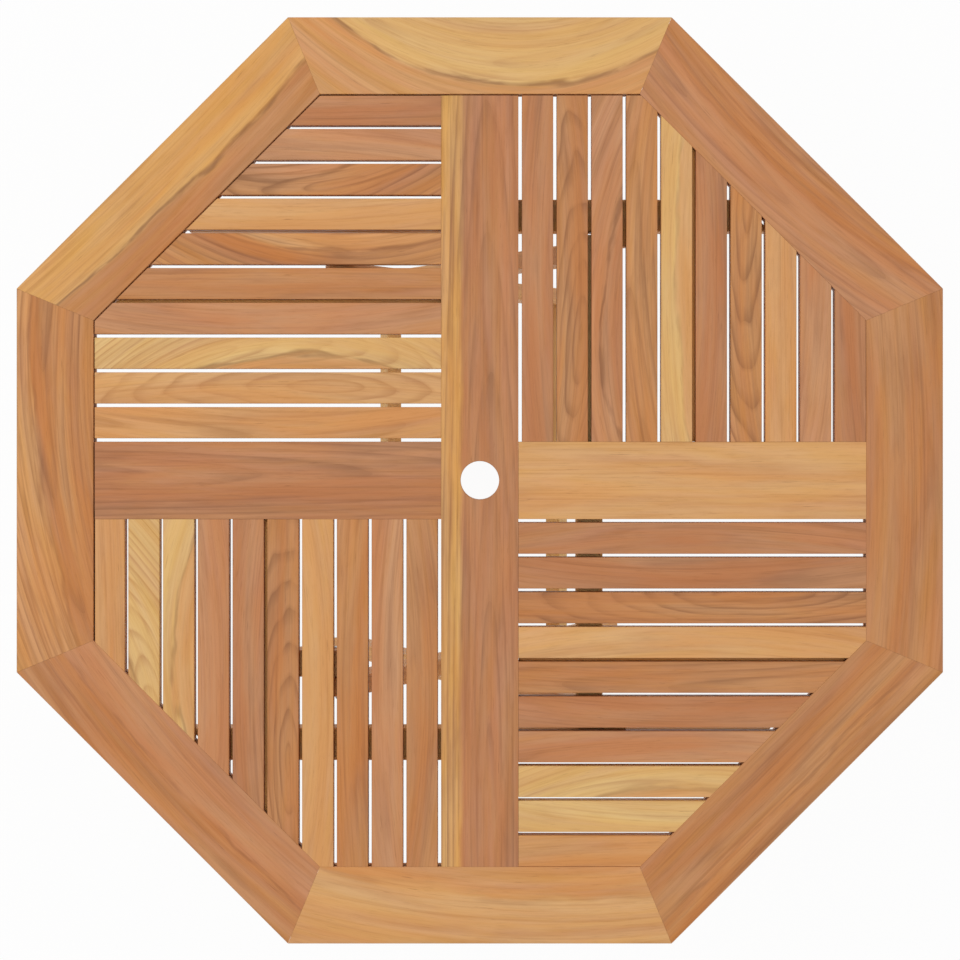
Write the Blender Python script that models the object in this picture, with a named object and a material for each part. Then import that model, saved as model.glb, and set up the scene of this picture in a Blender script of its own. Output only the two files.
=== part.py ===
"""Folding garden table: an octagonal slatted teak top on a pair of scissor leg frames.

The top hinges on the inner frame's upper ends. The outer frame turns on the scissor bolts, and its
crossbar carries the other half of the top. Metres, +Z up, floor at Z = 0, centre of the top at X = Y = 0.
"""

import math

import bmesh
import bpy
from mathutils import Matrix, Vector

# Top
TABLE_HEIGHT = 0.750
TOP_ACROSS = 1.200
RAIL_WIDTH = 0.100
RAIL_THICKNESS = 0.025
BOARD_WIDTH = 0.100
SLAT_THICKNESS = 0.020
SLATS_PER_FIELD = 10
SLAT_GAP = 0.0045
PARASOL_HOLE = 0.050
RAIL_EDGE_RADIUS = 0.004
SLAT_EDGE_RADIUS = 0.0015
CLOSED_GAP = 4
CLOSING_STRIP_HEIGHT = 0.006

# Tongues, grooves and mitre splines
TONGUE_THICKNESS = 0.008
TONGUE_LENGTH = 0.009
TONGUE_SHOULDER = 0.003
GROOVE_EXTRA_DEPTH = 0.001
SPLINE_WIDTH = 0.055
SPLINE_LENGTH = 0.040
SPLINE_THICKNESS = 0.006

# Battens, hinge blocks and crossbar stops under the top
BATTEN_SLAT = 7
BATTEN_WIDTH = 0.042
BATTEN_DEPTH = 0.038
BATTEN_END_GAP = 0.004
BLOCK_THICKNESS = 0.035
BLOCK_LENGTH = 0.090
BLOCK_BEHIND_HINGE = 0.059
BLOCK_BELOW_HINGE = 0.025
STOP_LENGTH = 0.030
STOP_WIDTH = 0.020
STOP_DEPTH = 0.022

# Leg frames
HINGE_X = -0.181
CROSSBAR_X = 0.1425
LEG_ANGLE = math.radians(62.0)
LEG_WIDTH = 0.045
LEG_THICKNESS = 0.025
LEG_EDGE_RADIUS = 0.003
BATTEN_TO_LEG = 0.013
CROSSBAR_WIDTH = 0.035
CROSSBAR_DEPTH = 0.030
CROSSBAR_END_GAP = 0.004
STRETCHER_HEIGHT = 0.150
STRETCHER_WIDTH = 0.025
STRETCHER_DEPTH = 0.030
TENON_LENGTH = 0.018
TENON_THICKNESS = 0.012
TENON_SHOULDER = 0.004
DOWEL_DIAMETER = 0.006
DOWEL_INSET = 0.001

# Bolts and screws
BOLT_DIAMETER = 0.008
BOLT_HEAD_DIAMETER = 0.020
BOLT_HEAD_HEIGHT = 0.0045
BOLT_HEAD_RIM = 0.00135
NUT_DIAMETER = 0.013
NUT_HEIGHT = 0.0065
CAP_DIAMETER = 0.011
CAP_HEIGHT = 0.006
WASHER_DIAMETER = 0.022
WASHER_THICKNESS = 0.0014
SCREW_DIAMETER = 0.0045
SCREW_HEAD_DIAMETER = 0.009
SCREW_SINK = 0.012

# Clearances
FIT = 0.0003
SHADOW_GAP = 0.002
TURN_CLEARANCE = 0.002
GLUE_OVERLAP = 0.001
CUTTER_OVERRUN = 0.003
MERGE_DISTANCE = 1e-6

# How round forms are faceted
SMOOTH_ANGLE = math.radians(32)
BOLT_SIDES = 20
HOLE_SIDES = 16
DOWEL_SIDES = 12
PARASOL_HOLE_SIDES = 40
RAIL_EDGE_STEPS = 3
BLOCK_CORNER_STEPS = 4
LEG_END_STEPS = 10
DOME_STEP = math.pi / 8

# Worked out from the sizes above
APOTHEM = TOP_ACROSS / 2
INNER = APOTHEM - RAIL_WIDTH
PITCH = (INNER - BOARD_WIDTH / 2) / SLATS_PER_FIELD
RAIL_BOTTOM = TABLE_HEIGHT - RAIL_THICKNESS
SLAT_BOTTOM = TABLE_HEIGHT - SLAT_THICKNESS
UNDERSIDE = SLAT_BOTTOM - FIT
TONGUE_Z = TABLE_HEIGHT - SLAT_THICKNESS / 2
GROOVE_DEPTH = TONGUE_LENGTH + GROOVE_EXTRA_DEPTH
GROOVE_THICKNESS = TONGUE_THICKNESS + 2 * FIT
BATTEN_Y = BOARD_WIDTH / 2 + BATTEN_SLAT * PITCH - (PITCH - SLAT_GAP) / 2
BATTEN_BOTTOM = UNDERSIDE - BATTEN_DEPTH
BATTEN_FACE_Y = BATTEN_Y - BATTEN_WIDTH / 2
BATTEN_LONG_HALF = INNER * math.sqrt(2) - BATTEN_FACE_Y - BATTEN_END_GAP
BATTEN_SHORT_HALF = BATTEN_LONG_HALF - BATTEN_WIDTH
WASHER_SPACE = WASHER_THICKNESS + 2 * FIT
OUTER_LEG_Y = BATTEN_FACE_Y - BATTEN_TO_LEG - LEG_THICKNESS / 2
INNER_LEG_Y = OUTER_LEG_Y - LEG_THICKNESS - WASHER_SPACE
BLOCK_Y = INNER_LEG_Y - LEG_THICKNESS / 2 - WASHER_SPACE - BLOCK_THICKNESS / 2
HINGE_Z = UNDERSIDE - LEG_WIDTH / 2 - TURN_CLEARANCE
CROSSBAR_TOP = UNDERSIDE - FIT
CROSSBAR_BOTTOM = CROSSBAR_TOP - CROSSBAR_DEPTH
OUTER_LEG_TOP = CROSSBAR_BOTTOM - FIT
LEG_RUN = 1 / math.tan(LEG_ANGLE)
SCISSOR_Z = (HINGE_Z + OUTER_LEG_TOP - (CROSSBAR_X - HINGE_X) / LEG_RUN) / 2
SCISSOR_X = HINGE_X + (HINGE_Z - SCISSOR_Z) * LEG_RUN

SIDES = ("right", "top_right", "top", "top_left", "left", "bottom_left", "bottom", "bottom_right")
SHADOW_SIDES = ("top", "top_left", "left")
FIELDS = ("back_left", "front_left", "front_right", "back_right")
FRONT_BACK = (("front", -1), ("back", 1))

TEAK_RAIL = (0.42, 0.22, 0.10)
TEAK_BOARD = (0.36, 0.17, 0.08)
TEAK_SLATS = ((0.33, 0.15, 0.07), (0.47, 0.27, 0.12), (0.38, 0.19, 0.09), (0.52, 0.33, 0.16))
TEAK_LEG = (0.36, 0.19, 0.09)
STEEL = (0.55, 0.55, 0.54)


def clear_scene():
    """Remove whatever the scene holds."""
    for ob in list(bpy.data.objects):
        bpy.data.objects.remove(ob, do_unlink=True)


def make_material(name, colour, roughness=0.5, metallic=0.0):
    """A Principled material in one colour."""
    material = bpy.data.materials.new(name)
    material.use_nodes = True
    shader = material.node_tree.nodes["Principled BSDF"]
    shader.inputs["Base Color"].default_value = (*colour, 1.0)
    shader.inputs["Roughness"].default_value = roughness
    shader.inputs["Metallic"].default_value = metallic
    return material


def make_object(name, bm, colour, parent=None, roughness=0.5, metallic=0.0):
    """Turn a bmesh in world coordinates into an object that rides its parent empty."""
    bmesh.ops.recalc_face_normals(bm, faces=bm.faces)
    mesh = bpy.data.meshes.new(name)
    bm.to_mesh(mesh)
    bm.free()
    mesh.materials.append(make_material(name, colour, roughness, metallic))
    mesh.shade_smooth()
    mesh.set_sharp_from_angle(angle=SMOOTH_ANGLE)
    ob = bpy.data.objects.new(name, mesh)
    bpy.context.collection.objects.link(ob)
    if parent is not None:
        ob.parent = parent
        ob.matrix_parent_inverse = Matrix.Translation(-parent.location)
    return ob


def make_empty(name, location):
    """An empty on a joint's axis."""
    empty = bpy.data.objects.new(name, None)
    empty.location = location
    bpy.context.collection.objects.link(empty)
    return empty


def combine(bm, other, operation):
    """The boolean of two meshes, by the exact solver, as a new bmesh."""
    objects = []
    for part in (bm, other):
        bmesh.ops.recalc_face_normals(part, faces=part.faces)
        mesh = bpy.data.meshes.new("operand")
        part.to_mesh(mesh)
        part.free()
        ob = bpy.data.objects.new("operand", mesh)
        bpy.context.collection.objects.link(ob)
        objects.append(ob)
    modifier = objects[0].modifiers.new("boolean", "BOOLEAN")
    modifier.operation = operation
    modifier.solver = "EXACT"
    modifier.object = objects[1]
    depsgraph = bpy.context.evaluated_depsgraph_get()
    result = bmesh.new()
    result.from_mesh(objects[0].evaluated_get(depsgraph).to_mesh())
    for ob in objects:
        bpy.data.objects.remove(ob, do_unlink=True)
    bmesh.ops.dissolve_degenerate(result, edges=result.edges, dist=MERGE_DISTANCE)
    return result


def cut(bm, cutter):
    """Take the cutter's shape out of the mesh."""
    return combine(bm, cutter, "DIFFERENCE")


def join(bm, other):
    """Fuse the two meshes into one body."""
    return combine(bm, other, "UNION")


def extrude_outline(outline, vector, edge_radius=0.0, segments=2):
    """A prism from a closed outline of 3D points, its two rims rounded."""
    bm = bmesh.new()
    face = bm.faces.new([bm.verts.new(point) for point in outline])
    extruded = bmesh.ops.extrude_face_region(bm, geom=[face])
    moved = [item for item in extruded["geom"] if isinstance(item, bmesh.types.BMVert)]
    bmesh.ops.translate(bm, vec=vector, verts=moved)
    bmesh.ops.recalc_face_normals(bm, faces=bm.faces)
    if edge_radius > 0:
        direction = Vector(vector).normalized()
        rims = [edge for edge in bm.edges
                if abs((edge.verts[1].co - edge.verts[0].co).dot(direction)) < MERGE_DISTANCE]
        bmesh.ops.bevel(bm, geom=rims, offset=edge_radius, segments=segments, profile=0.5,
                        affect="EDGES", clamp_overlap=True)
    return bm


def plate(outline, bottom, top, edge_radius=0.0):
    """A flat piece: an outline in XY between two heights."""
    return extrude_outline([(x, y, bottom) for x, y in outline], (0, 0, top - bottom), edge_radius)


def slab(outline, y_middle, thickness, edge_radius=0.0):
    """An upright piece: an outline in XZ, extruded along Y about its middle plane."""
    start = y_middle - thickness / 2
    return extrude_outline([(x, start, z) for x, z in outline], (0, thickness, 0), edge_radius)


def box(low, high, edge_radius=0.0):
    """A block between two opposite corners."""
    outline = [(low[0], low[1]), (high[0], low[1]), (high[0], high[1]), (low[0], high[1])]
    return plate(outline, low[2], high[2], edge_radius)


def turned(profile, sides):
    """A round piece about Z from (radius, z) points that start and end on the axis."""
    bm = bmesh.new()
    verts = [bm.verts.new((radius, 0, z)) for radius, z in profile]
    edges = [bm.edges.new(pair) for pair in zip(verts, verts[1:])]
    bmesh.ops.spin(bm, geom=verts + edges, cent=(0, 0, 0), axis=(0, 0, 1), angle=2 * math.pi,
                   steps=sides, use_merge=True)
    bmesh.ops.remove_doubles(bm, verts=bm.verts, dist=MERGE_DISTANCE)
    return bm


def placed(bm, location, direction=(0, 0, 1)):
    """The mesh with its Z axis turned to the direction and its origin moved to the location."""
    turn = Vector((0, 0, 1)).rotation_difference(Vector(direction)).to_matrix().to_4x4()
    bmesh.ops.transform(bm, matrix=Matrix.Translation(location) @ turn, verts=bm.verts)
    return bm


def rod(diameter, start, end, sides):
    """A plain round bar between two points."""
    run = Vector(end) - Vector(start)
    profile = [(0, 0), (diameter / 2, 0), (diameter / 2, run.length), (0, run.length)]
    return placed(turned(profile, sides), start, run)


def turned_about_z(point, quarter_turns):
    """A point in XY after quarter turns anticlockwise."""
    x, y = point
    for _ in range(quarter_turns % 4):
        x, y = -y, x
    return x, y


def clip(outline, normal, distance):
    """The part of a convex outline that lies within a distance along a normal."""
    kept = []
    for start, end in zip(outline, outline[1:] + outline[:1]):
        before = start[0] * normal[0] + start[1] * normal[1] - distance
        after = end[0] * normal[0] + end[1] * normal[1] - distance
        if before <= 0:
            kept.append(start)
        if before * after < 0:
            share = before / (before - after)
            kept.append(tuple(a + share * (b - a) for a, b in zip(start, end)))
    return kept


def clip_to_rails(outline, beyond=None):
    """Cut an outline to the rails' inner edges, less the gaps, or to a tongue's length past them."""
    for index, side in enumerate(SIDES):
        angle = index * math.pi / 4
        gap = SHADOW_GAP if side in SHADOW_SIDES else FIT
        distance = INNER - gap if beyond is None else INNER + beyond
        outline = clip(outline, (math.cos(angle), math.sin(angle)), distance)
    return outline


def rectangle(x0, x1, y0, y1):
    """An anticlockwise rectangle."""
    return [(x0, y0), (x1, y0), (x1, y1), (x0, y1)]


def slat_span(number):
    """Where a slat, counted from 1 outwards, begins and ends across its field."""
    outer = BOARD_WIDTH / 2 + number * PITCH
    return outer - (PITCH - SLAT_GAP), outer


def rail_profile():
    """A rail's section as (distance from the centre, height): rounded outside, grooved inside."""
    corners = ((APOTHEM - RAIL_EDGE_RADIUS, RAIL_BOTTOM + RAIL_EDGE_RADIUS, -90),
               (APOTHEM - RAIL_EDGE_RADIUS, TABLE_HEIGHT - RAIL_EDGE_RADIUS, 0))
    points = [(INNER, RAIL_BOTTOM)]
    for radius, height, first in corners:
        for step in range(RAIL_EDGE_STEPS + 1):
            angle = math.radians(first + step * 90 / RAIL_EDGE_STEPS)
            points.append((radius + RAIL_EDGE_RADIUS * math.cos(angle),
                           height + RAIL_EDGE_RADIUS * math.sin(angle)))
    points += [(INNER + SLAT_EDGE_RADIUS, TABLE_HEIGHT), (INNER, TABLE_HEIGHT - SLAT_EDGE_RADIUS)]
    for depth, side in ((0, 1), (GROOVE_DEPTH, 1), (GROOVE_DEPTH, -1), (0, -1)):
        points.append((INNER + depth, TONGUE_Z + side * GROOVE_THICKNESS / 2))
    return points


def spline_block(corner, extra=0.0):
    """The loose tongue across a mitre, or its pocket where extra is given."""
    angle = corner * math.pi / 4 + math.pi / 8
    middle = (APOTHEM - RAIL_WIDTH / 2) / math.cos(math.pi / 8)
    half = (SPLINE_WIDTH / 2 + extra, SPLINE_LENGTH / 2 + extra, SPLINE_THICKNESS / 2 + extra)
    bm = box([-size for size in half], half)
    centre = (middle * math.cos(angle), middle * math.sin(angle), TABLE_HEIGHT - RAIL_THICKNESS / 2)
    bmesh.ops.transform(bm, matrix=Matrix.Translation(centre) @ Matrix.Rotation(angle, 4, "Z"),
                        verts=bm.verts)
    return bm


def rail(index):
    """One rail swept between two mitre planes, with a spline at one end and its pocket at the other."""
    bm = bmesh.new()
    slope = math.tan(math.pi / 8)
    gap = FIT / 2 / math.cos(math.pi / 8)
    ends = []
    for sign in (-1, 1):
        ends.append([bm.verts.new((radius, sign * (radius * slope - gap), height))
                     for radius, height in rail_profile()])
    count = len(ends[0])
    for end in ends:
        bm.faces.new(end)
    for i in range(count):
        j = (i + 1) % count
        bm.faces.new((ends[0][i], ends[0][j], ends[1][j], ends[1][i]))
    bm = cut(bm, spline_block(-1, extra=FIT))
    bm = join(bm, spline_block(0))
    bmesh.ops.transform(bm, matrix=Matrix.Rotation(index * math.pi / 4, 4, "Z"), verts=bm.verts)
    return bm


def make_rails(parent):
    """Eight mitred rails. Each straight one carries the outermost slat of the field beside it."""
    for index, side in enumerate(SIDES):
        bm = rail(index)
        if index % 2 == 0:
            quarter_turns = (index // 2 - 1) % 4
            bm = join(bm, slat(SLATS_PER_FIELD, quarter_turns))
            bm = join(bm, glue_strip(quarter_turns))
        make_object("rail_" + side, bm, TEAK_RAIL, parent)


def tongued(outline, tongue_outline):
    """A board or slat with tongues past its ends."""
    body = plate(outline, SLAT_BOTTOM, TABLE_HEIGHT, SLAT_EDGE_RADIUS)
    tongue = plate(tongue_outline, TONGUE_Z - TONGUE_THICKNESS / 2, TONGUE_Z + TONGUE_THICKNESS / 2)
    return join(body, tongue)


def slat(number, quarter_turns):
    """One slat of the back left field, turned to its own field and cut to the rails it meets."""
    near, far = slat_span(number)
    board = BOARD_WIDTH / 2
    outline = rectangle(-APOTHEM, -board - FIT, near, far)
    tongue = rectangle(-APOTHEM, -board + TONGUE_LENGTH, near + TONGUE_SHOULDER, far - TONGUE_SHOULDER)
    outline = clip_to_rails([turned_about_z(point, quarter_turns) for point in outline])
    tongue = [turned_about_z(point, quarter_turns) for point in tongue]
    bm = tongued(outline, clip_to_rails(tongue, TONGUE_LENGTH))
    if number == CLOSED_GAP + quarter_turns % 2 and number < SLATS_PER_FIELD:
        bm = join(bm, closing_strip(far, quarter_turns))
    return bm


def closing_strip(far, quarter_turns):
    """The strip on a slat's outer side that closes the gap to the next slat from below."""
    outline = rectangle(-APOTHEM, -BOARD_WIDTH / 2 - FIT, far - GLUE_OVERLAP, far + SLAT_GAP - FIT)
    outline = clip_to_rails([turned_about_z(point, quarter_turns) for point in outline])
    bottom = SLAT_BOTTOM + 2 * SLAT_EDGE_RADIUS
    return plate(outline, bottom, bottom + CLOSING_STRIP_HEIGHT)


def glue_strip(quarter_turns):
    """The long tongue that fills a straight rail's groove and holds the outermost slat to it."""
    reach = INNER * math.tan(math.pi / 8) - PITCH / 2
    outline = rectangle(-reach, -BOARD_WIDTH / 2 - PITCH / 2, INNER - GROOVE_DEPTH,
                        INNER + GROOVE_DEPTH + GLUE_OVERLAP)
    return glued_tongue(outline, quarter_turns)


def end_glue_block(quarter_turns):
    """The end tongue that fills a half board's groove and holds the first slat to it."""
    near, far = slat_span(1)
    board = BOARD_WIDTH / 2
    outline = rectangle(-board - GROOVE_DEPTH, -board + GROOVE_DEPTH + GLUE_OVERLAP,
                        near + 2 * TONGUE_SHOULDER, far - 2 * TONGUE_SHOULDER)
    return glued_tongue(outline, quarter_turns)


def glued_tongue(outline, quarter_turns):
    """A tongue without clearance, from an outline in the back left field."""
    half = GROOVE_THICKNESS / 2 + GLUE_OVERLAP
    turned_outline = [turned_about_z(point, quarter_turns) for point in outline]
    return plate(turned_outline, TONGUE_Z - half, TONGUE_Z + half)


def make_slats(parent):
    """Four fields of slats in a pinwheel, less those that a rail or a half board carries."""
    for quarter_turns, field in enumerate(FIELDS):
        for number in range(1, SLATS_PER_FIELD):
            if number == 1 and quarter_turns % 2 == 1:
                continue
            colour = TEAK_SLATS[(number + quarter_turns) % len(TEAK_SLATS)]
            make_object(f"slat_{field}_{number:02d}", slat(number, quarter_turns), colour, parent)


def groove_cutter(outline):
    """The cutter for a groove at the tongues' height."""
    return plate(outline, TONGUE_Z - GROOVE_THICKNESS / 2, TONGUE_Z + GROOVE_THICKNESS / 2)


def centre_board():
    """The board through the middle, grooved along both sides, with the parasol hole."""
    half = BOARD_WIDTH / 2
    core = half - GROOVE_DEPTH - TONGUE_SHOULDER
    outline = clip_to_rails(rectangle(-half, half, -APOTHEM, APOTHEM))
    tongue = clip_to_rails(rectangle(-core, core, -APOTHEM, APOTHEM), TONGUE_LENGTH)
    bm = tongued(outline, tongue)
    for sign in (-1, 1):
        near, far = sorted((sign * (half - GROOVE_DEPTH), sign * (half + GROOVE_DEPTH)))
        bm = cut(bm, groove_cutter(rectangle(near, far, -APOTHEM, APOTHEM)))
    return cut(bm, rod(PARASOL_HOLE, (0, 0, RAIL_BOTTOM), (0, 0, TABLE_HEIGHT + RAIL_THICKNESS),
                       PARASOL_HOLE_SIDES))


def half_board(quarter_turns):
    """A board from the centre board to a side rail, with the first slat that ends on it."""
    half = BOARD_WIDTH / 2
    outline = rectangle(-APOTHEM, -half - FIT, -half, half)
    tongue = rectangle(-APOTHEM, -half + TONGUE_LENGTH, -half + GROOVE_DEPTH + TONGUE_SHOULDER,
                       half - TONGUE_SHOULDER)
    groove = rectangle(-APOTHEM, 0, -half - GROOVE_DEPTH, -half + GROOVE_DEPTH)
    outline, tongue, groove = [[turned_about_z(point, quarter_turns) for point in shape]
                               for shape in (outline, tongue, groove)]
    bm = tongued(clip_to_rails(outline), clip_to_rails(tongue, TONGUE_LENGTH))
    bm = cut(bm, groove_cutter(groove))
    bm = join(bm, slat(1, quarter_turns + 1))
    return join(bm, end_glue_block(quarter_turns + 1))


def make_boards(parent):
    """The centre board and the two half boards."""
    make_object("centre_board", centre_board(), TEAK_BOARD, parent)
    make_object("half_board_left", half_board(0), TEAK_BOARD, parent)
    make_object("half_board_right", half_board(2), TEAK_BOARD, parent)


def screw_hole(x, y, face):
    """The cutter for a screw's hole up through a piece, counterbored from its lower face."""
    sink = min(SCREW_SINK, (UNDERSIDE - face) / 2)
    wide = SCREW_HEAD_DIAMETER / 2 + FIT
    narrow = SCREW_DIAMETER / 2 + FIT
    profile = [(0, face - SCREW_SINK), (wide, face - SCREW_SINK), (wide, face + sink),
               (narrow, face + sink + wide - narrow), (narrow, UNDERSIDE + SCREW_SINK),
               (0, UNDERSIDE + SCREW_SINK)]
    return placed(turned(profile, DOWEL_SIDES), (x, y, 0))


def batten_screw_places():
    """Where the back batten's screws stand along it: outer slat, centre board and crossing slats."""
    reach = BATTEN_SHORT_HALF - 2 * SCREW_HEAD_DIAMETER
    inner = BOARD_WIDTH / 2 + PITCH / 2
    places = [-reach, -(reach + inner) / 2, -inner, 0]
    middles = [sum(slat_span(number)) / 2 for number in range(1, SLATS_PER_FIELD)]
    return places + [middle for middle in middles[::2] if middle < reach]


def crossbar_stop(sign):
    """The block on a batten's inner face that the outer frame's crossbar rests against."""
    start = CROSSBAR_X + CROSSBAR_WIDTH / 2 + FIT
    sides = sorted((sign * (BATTEN_FACE_Y - STOP_WIDTH), sign * (BATTEN_FACE_Y + GLUE_OVERLAP)))
    low = (start, sides[0], UNDERSIDE - STOP_DEPTH)
    high = (start + STOP_LENGTH, sides[1], UNDERSIDE - FIT)
    return box(low, high, SLAT_EDGE_RADIUS)


def make_batten(name, sign, parent):
    """A batten across the underside, mitred to the corner rails at its ends, with its crossbar stop."""
    near = sign * BATTEN_FACE_Y
    far = sign * (BATTEN_FACE_Y + BATTEN_WIDTH)
    outline = [(-BATTEN_LONG_HALF, near), (BATTEN_LONG_HALF, near),
               (BATTEN_SHORT_HALF, far), (-BATTEN_SHORT_HALF, far)]
    bm = plate(outline, BATTEN_BOTTOM, UNDERSIDE, LEG_EDGE_RADIUS)
    for x in batten_screw_places():
        bm = cut(bm, screw_hole(sign * x, sign * BATTEN_Y, BATTEN_BOTTOM))
    make_object(name, join(bm, crossbar_stop(sign)), TEAK_LEG, parent)


def arc(centre, radius, first, last, steps):
    """Points on an arc in XZ, angles in radians."""
    return [(centre[0] + radius * math.cos(first + (last - first) * i / steps),
             centre[1] + radius * math.sin(first + (last - first) * i / steps))
            for i in range(steps + 1)]


def make_hinge_block(name, sign, parent):
    """The block under the top that one hinge bolt passes through, its lower corners rounded."""
    left = HINGE_X - BLOCK_BEHIND_HINGE
    right = left + BLOCK_LENGTH
    bottom = HINGE_Z - BLOCK_BELOW_HINGE
    radius = BLOCK_BELOW_HINGE / 2
    outline = [(right, UNDERSIDE), (left, UNDERSIDE)]
    outline += arc((left + radius, bottom + radius), radius, math.pi, 1.5 * math.pi, BLOCK_CORNER_STEPS)
    outline += arc((right - radius, bottom + radius), radius, 1.5 * math.pi, 2 * math.pi,
                   BLOCK_CORNER_STEPS)
    bm = slab(outline, sign * BLOCK_Y, BLOCK_THICKNESS, SLAT_EDGE_RADIUS)
    for x in ((left + HINGE_X - BOLT_DIAMETER) / 2, (right + HINGE_X + BOLT_DIAMETER / 2) / 2):
        bm = cut(bm, screw_hole(x, sign * BLOCK_Y, bottom))
    make_object(name, cut(bm, bolt_hole(HINGE_X, HINGE_Z, sign * BLOCK_Y)), TEAK_LEG, parent)


def bolt_hole(x, z, y_middle):
    """The cutter for a bolt's hole through one piece."""
    reach = max(LEG_THICKNESS, BLOCK_THICKNESS)
    return rod(BOLT_DIAMETER + 2 * FIT, (x, y_middle - reach, z), (x, y_middle + reach, z),
               HOLE_SIDES)


def inner_leg_outline():
    """A leg from the floor up to a round end about the hinge bolt."""
    half = LEG_WIDTH / 2
    across = Vector((math.sin(LEG_ANGLE), math.cos(LEG_ANGLE))) * half
    foot_x = HINGE_X + HINGE_Z * LEG_RUN
    foot_half = half / math.sin(LEG_ANGLE)
    start = math.atan2(across.y, across.x)
    end = arc((HINGE_X, HINGE_Z), half, start, start + math.pi, LEG_END_STEPS)
    return [(foot_x - foot_half, 0), (foot_x + foot_half, 0)] + end


def outer_leg_outline():
    """A leg from the floor up to the crossbar's underside."""
    half = LEG_WIDTH / 2 / math.sin(LEG_ANGLE)
    foot_x = CROSSBAR_X - OUTER_LEG_TOP * LEG_RUN
    return [(foot_x - half, 0), (foot_x + half, 0),
            (CROSSBAR_X + half, OUTER_LEG_TOP), (CROSSBAR_X - half, OUTER_LEG_TOP)]


def stretcher_centre(lean):
    """Where a leg's centre line passes the stretchers' height. Lean is 1 for the outer frame."""
    if lean > 0:
        return CROSSBAR_X - (OUTER_LEG_TOP - STRETCHER_HEIGHT) * LEG_RUN
    return HINGE_X + (HINGE_Z - STRETCHER_HEIGHT) * LEG_RUN


def along_leg(lean, length, across, y, y_thickness):
    """A block about the stretcher's place on a leg, turned to the leg's slope."""
    bm = box((-length / 2, -y_thickness / 2, -across / 2), (length / 2, y_thickness / 2, across / 2))
    turn = Matrix.Rotation(-LEG_ANGLE if lean > 0 else LEG_ANGLE - math.pi, 4, "Y")
    place = Matrix.Translation((stretcher_centre(lean), y, STRETCHER_HEIGHT))
    bmesh.ops.transform(bm, matrix=place @ turn, verts=bm.verts)
    return bm


def stretcher_dowel(lean, y, extra=0.0):
    """The dowel across a leg that locks a stretcher's tenon, or its hole where extra is given."""
    direction = Vector((math.sin(LEG_ANGLE), 0, -lean * math.cos(LEG_ANGLE)))
    overrun = CUTTER_OVERRUN if extra else 0
    reach = direction * (LEG_WIDTH / 2 - DOWEL_INSET + overrun)
    centre = Vector((stretcher_centre(lean), y, STRETCHER_HEIGHT))
    return rod(DOWEL_DIAMETER + 2 * extra, centre - reach, centre + reach, DOWEL_SIDES)


def tenon_y(leg_y, sign):
    """The middle of a stretcher's tenon inside a leg."""
    return sign * (leg_y - LEG_THICKNESS / 2 + TENON_LENGTH / 2)


def make_stretcher(name, lean, leg_y, parent):
    """A bar between two legs, with a tenon at each end and the dowel that locks it in its leg."""
    shoulder = leg_y - LEG_THICKNESS / 2 - FIT
    bm = along_leg(lean, STRETCHER_DEPTH, STRETCHER_WIDTH, 0, 2 * shoulder)
    bmesh.ops.bevel(bm, geom=long_edges(bm), offset=LEG_EDGE_RADIUS, segments=2, profile=0.5,
                    affect="EDGES", clamp_overlap=True)
    tenons = along_leg(lean, STRETCHER_DEPTH - 2 * TENON_SHOULDER, TENON_THICKNESS, 0,
                       2 * (leg_y - LEG_THICKNESS / 2 + TENON_LENGTH))
    bm = join(bm, tenons)
    for sign in (-1, 1):
        bm = join(bm, stretcher_dowel(lean, tenon_y(leg_y, sign)))
    return make_object(name, bm, TEAK_LEG, parent)


def long_edges(bm):
    """The edges of a bar that run along Y."""
    return [edge for edge in bm.edges
            if abs((edge.verts[1].co - edge.verts[0].co).normalized().y) > 0.99]


def cut_mortise(bm, lean, leg_y, sign):
    """Take a stretcher's mortise and its dowel hole out of a leg."""
    depth = TENON_LENGTH + 2 * FIT
    middle = sign * (leg_y - LEG_THICKNESS / 2 + depth / 2 - LEG_THICKNESS / 4)
    pocket = along_leg(lean, STRETCHER_DEPTH - 2 * TENON_SHOULDER + 2 * FIT,
                       TENON_THICKNESS + 2 * FIT, middle, depth + LEG_THICKNESS / 2)
    bm = cut(bm, pocket)
    return cut(bm, stretcher_dowel(lean, tenon_y(leg_y, sign), FIT))


def make_inner_leg(name, sign, parent):
    """An inner leg: hinge bolt at the top, scissor bolt in the middle, stretcher below."""
    y = sign * INNER_LEG_Y
    bm = slab(inner_leg_outline(), y, LEG_THICKNESS, LEG_EDGE_RADIUS)
    bm = cut(bm, bolt_hole(HINGE_X, HINGE_Z, y))
    bm = cut(bm, bolt_hole(SCISSOR_X, SCISSOR_Z, y))
    make_object(name, cut_mortise(bm, -1, INNER_LEG_Y, sign), TEAK_LEG, parent)


def crossbar_tenon(sign, extra=0.0):
    """The tenon on an outer leg's upper end, or its mortise where extra is given."""
    half = CROSSBAR_WIDTH / 2 - 2 * TENON_SHOULDER + extra
    y = sign * OUTER_LEG_Y
    thick = TENON_THICKNESS / 2 + extra
    return box((CROSSBAR_X - half, y - thick, OUTER_LEG_TOP - TENON_LENGTH),
               (CROSSBAR_X + half, y + thick, OUTER_LEG_TOP + TENON_LENGTH + extra))


def crossbar_dowel(sign, extra=0.0):
    """The dowel along X that locks a leg's tenon in the crossbar, or its hole where extra is given."""
    overrun = CUTTER_OVERRUN if extra else 0
    reach = CROSSBAR_WIDTH / 2 - DOWEL_INSET + overrun
    z = OUTER_LEG_TOP + TENON_LENGTH / 2
    y = sign * OUTER_LEG_Y
    return rod(DOWEL_DIAMETER + 2 * extra, (CROSSBAR_X - reach, y, z), (CROSSBAR_X + reach, y, z),
               DOWEL_SIDES)


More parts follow.
